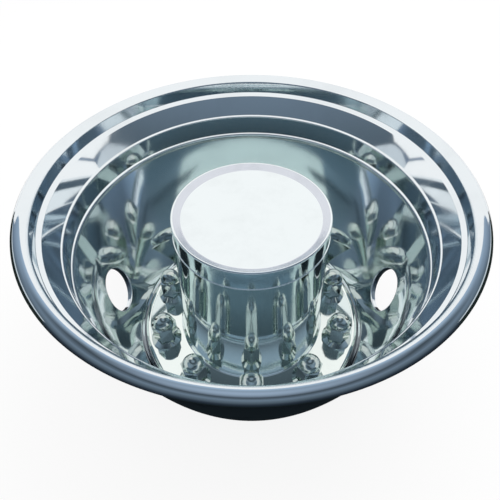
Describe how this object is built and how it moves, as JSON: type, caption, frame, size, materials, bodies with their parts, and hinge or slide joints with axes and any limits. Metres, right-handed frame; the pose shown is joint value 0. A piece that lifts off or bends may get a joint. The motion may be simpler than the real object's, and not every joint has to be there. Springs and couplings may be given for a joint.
{
  "type": "truck wheel simulator",
  "caption": "Polished deep-dish cover for a rear dual truck wheel, with a rolled lip, hand holes, a tall capped hub tower and hexagon lug covers on the stud circle.",
  "frame": {"origin": "on the wheel's axis, at the level the part lies on: the lower ends of the lug covers' necks", "axes": "+Z along the wheel's axis, out of the dish's mouth; X through the two hand holes"},
  "size_m": [0.5641, 0.5642, 0.2892],
  "materials": {
    "liner_steel": "mirror polished stainless sheet",
    "hub_steel": "mirror polished stainless sheet",
    "cap_steel": "mirror polished stainless sheet",
    "lug_chrome": "bright chrome plating",
    "spring_steel": "plain spring steel"
  },
  "bodies": {
    "root": {"wheel_liner": "liner_steel", "hub_cover": "hub_steel", "hub_cap": "cap_steel", "lug_cover_01": "lug_chrome", "lug_cover_02": "lug_chrome", "lug_cover_03": "lug_chrome", "lug_cover_04": "lug_chrome", "lug_cover_05": "lug_chrome", "lug_cover_06": "lug_chrome", "lug_cover_07": "lug_chrome", "lug_cover_08": "lug_chrome", "lug_cover_09": "lug_chrome", "lug_cover_10": "lug_chrome", "lug_retainers": "spring_steel"}
  },
  "joints": []
}
